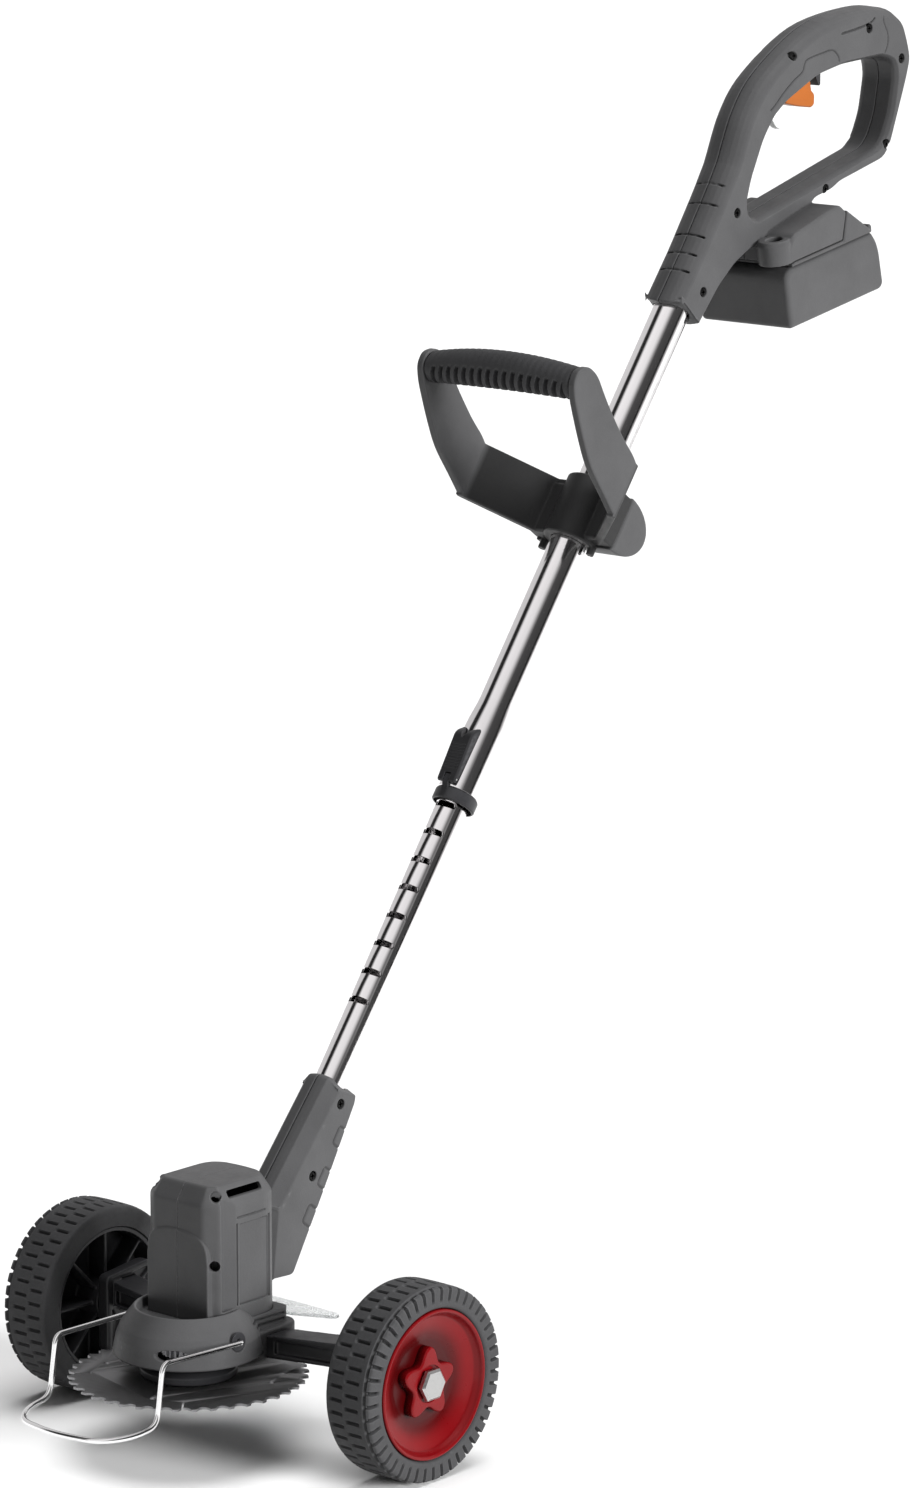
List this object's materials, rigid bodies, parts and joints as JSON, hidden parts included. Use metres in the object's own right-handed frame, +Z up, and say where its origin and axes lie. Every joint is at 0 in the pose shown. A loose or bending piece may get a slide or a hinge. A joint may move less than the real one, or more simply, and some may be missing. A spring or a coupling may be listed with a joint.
{
  "type": "lawn edger",
  "caption": "Battery lawn edger: saw blade head on two wheels, telescopic chrome pole, rear trigger handle with battery and an auxiliary loop handle.",
  "frame": {"origin": "bottom centre of the whole tool's bounding box, on the floor under the wheels", "axes": "+Z up; -Y is the front, where the blade and the wire hoop are; the wheel axle lies along X"},
  "size_m": [0.317, 0.8384, 0.8668],
  "materials": {
    "charcoal_plastic": "moulded charcoal, satin with a fine grain",
    "black_plastic": "moulded black, satin",
    "grip_rubber": "soft dark grey grip, matte",
    "tyre_rubber": "dark grey rubber, matte",
    "bright_steel": "chrome plated tube and wire, bright",
    "blade_steel": "dark ground saw steel",
    "zinc_steel": "zinc plated",
    "red_plastic": "deep red, glossy",
    "orange_plastic": "orange, satin",
    "frosted_plastic": "frosted, translucent",
    "motor_steel": "plain steel can",
    "bearing_steel": "ground",
    "gear_steel": "plain steel",
    "cell_wrap": "blue shrink wrap",
    "pale_nylon": "pale translucent nylon"
  },
  "bodies": {
    "saw_head": {"lower_tube": "bright_steel", "neck_shell_right": "charcoal_plastic", "neck_shell_left": "charcoal_plastic", "neck_screw_1": "zinc_steel", "neck_screw_2": "zinc_steel", "motor_housing_right": "charcoal_plastic", "motor_housing_left": "charcoal_plastic", "motor_can": "motor_steel", "spindle_bearing": "bearing_steel", "blade_guard": "charcoal_plastic", "guard_washer_right": "black_plastic", "guard_washer_left": "black_plastic", "rear_guard": "frosted_plastic", "wheel_bracket_right": "black_plastic", "wheel_bracket_left": "black_plastic", "axle_bolt_right": "zinc_steel", "axle_bolt_left": "zinc_steel"},
    "upper_pole": {"upper_tube": "bright_steel", "guide_bush": "black_plastic", "latch_pin": "zinc_steel", "handle_shell_right": "charcoal_plastic", "handle_shell_left": "charcoal_plastic", "handle_screw_1": "zinc_steel", "handle_screw_2": "zinc_steel", "handle_screw_3": "zinc_steel", "handle_screw_4": "zinc_steel", "handle_screw_5": "zinc_steel", "handle_screw_6": "zinc_steel", "handle_screw_7": "zinc_steel", "switch_body": "black_plastic", "terminal_block": "black_plastic"},
    "aux_loop": {"aux_handle": "charcoal_plastic", "aux_grip": "grip_rubber", "aux_clamp": "charcoal_plastic", "aux_screw_right": "zinc_steel", "aux_screw_left": "zinc_steel"},
    "latch": {"latch_lever": "black_plastic"},
    "trigger_lever": {"trigger": "orange_plastic"},
    "lock_off": {"lock_off_tab": "pale_nylon"},
    "battery": {"battery_case": "charcoal_plastic", "battery_lid": "charcoal_plastic", "cell_pack": "cell_wrap"},
    "battery_release": {"battery_button": "black_plastic"},
    "blade": {"blade_spindle": "gear_steel", "saw_blade": "blade_steel", "blade_flange": "black_plastic", "blade_nut": "zinc_steel"},
    "motor_rotor": {"motor_shaft": "gear_steel"},
    "wire_hoop": {"wire_guard": "bright_steel"},
    "wheel_right": {"tyre_right": "tyre_rubber", "wheel_core_right": "black_plastic", "rim_right": "red_plastic", "star_knob_right": "red_plastic"},
    "wheel_left": {"tyre_left": "tyre_rubber", "wheel_core_left": "black_plastic", "rim_left": "red_plastic", "star_knob_left": "red_plastic"}
  },
  "joints": [
    {"name": "pole_length", "type": "slide", "parent": "saw_head", "child": "upper_pole", "axis": [0, -0.5929, -0.8053], "range_m": [0, 0.1836]},
    {"name": "pole_latch", "type": "hinge", "parent": "upper_pole", "child": "latch", "pos_m": [0, -0.04989, 0.39423], "axis": [1, 0, 0], "range_deg": [0, 12], "stiffness_Nm_per_rad": 0.3, "springref_deg": -8.59},
    {"name": "aux_position", "type": "slide", "parent": "upper_pole", "child": "aux_loop", "axis": [0, 0.5929, 0.8053], "range_m": [-0.1, 0.06]},
    {"name": "trigger_squeeze", "type": "hinge", "parent": "upper_pole", "child": "trigger_lever", "pos_m": [0, 0.29361, 0.823], "axis": [1, 0, 0], "range_deg": [0, 8], "stiffness_Nm_per_rad": 1.5, "springref_deg": -4.58},
    {"name": "lock_off_press", "type": "hinge", "parent": "upper_pole", "child": "lock_off", "pos_m": [0, 0.2736, 0.8075], "axis": [1, 0, 0], "range_deg": [0, 14], "stiffness_Nm_per_rad": 0.2, "springref_deg": -8.59},
    {"name": "battery_slide", "type": "slide", "parent": "upper_pole", "child": "battery", "axis": [0, 0.9839, 0.1788], "range_m": [0, 0.09]},
    {"name": "battery_button_press", "type": "slide", "parent": "battery", "child": "battery_release", "axis": [0, 0.1788, -0.9839], "range_m": [0, 0.003], "stiffness_N_per_m": 900, "springref_m": -0.002},
    {"name": "blade_spin", "type": "hinge", "parent": "saw_head", "child": "blade", "pos_m": [0, -0.2984, 0.0502], "axis": [0, 0, 1], "continuous": true},
    {"name": "motor_spin", "type": "hinge", "parent": "saw_head", "child": "motor_rotor", "pos_m": [0, -0.2764, 0.0682], "axis": [0, 0, 1], "continuous": true},
    {"name": "hoop_flip", "type": "hinge", "parent": "saw_head", "child": "wire_hoop", "pos_m": [0, -0.3004, 0.081], "axis": [-1, 0, 0], "range_deg": [0, 110]},
    {"name": "wheel_right_roll", "type": "hinge", "parent": "saw_head", "child": "wheel_right", "pos_m": [0.1399, -0.2431, 0.0625], "axis": [1, 0, 0], "continuous": true},
    {"name": "wheel_left_roll", "type": "hinge", "parent": "saw_head", "child": "wheel_left", "pos_m": [-0.1399, -0.2431, 0.0625], "axis": [1, 0, 0], "continuous": true}
  ],
  "couplings": [
    {"joint": "motor_spin", "follows": "blade_spin", "ratio": -2.6667}
  ]
}
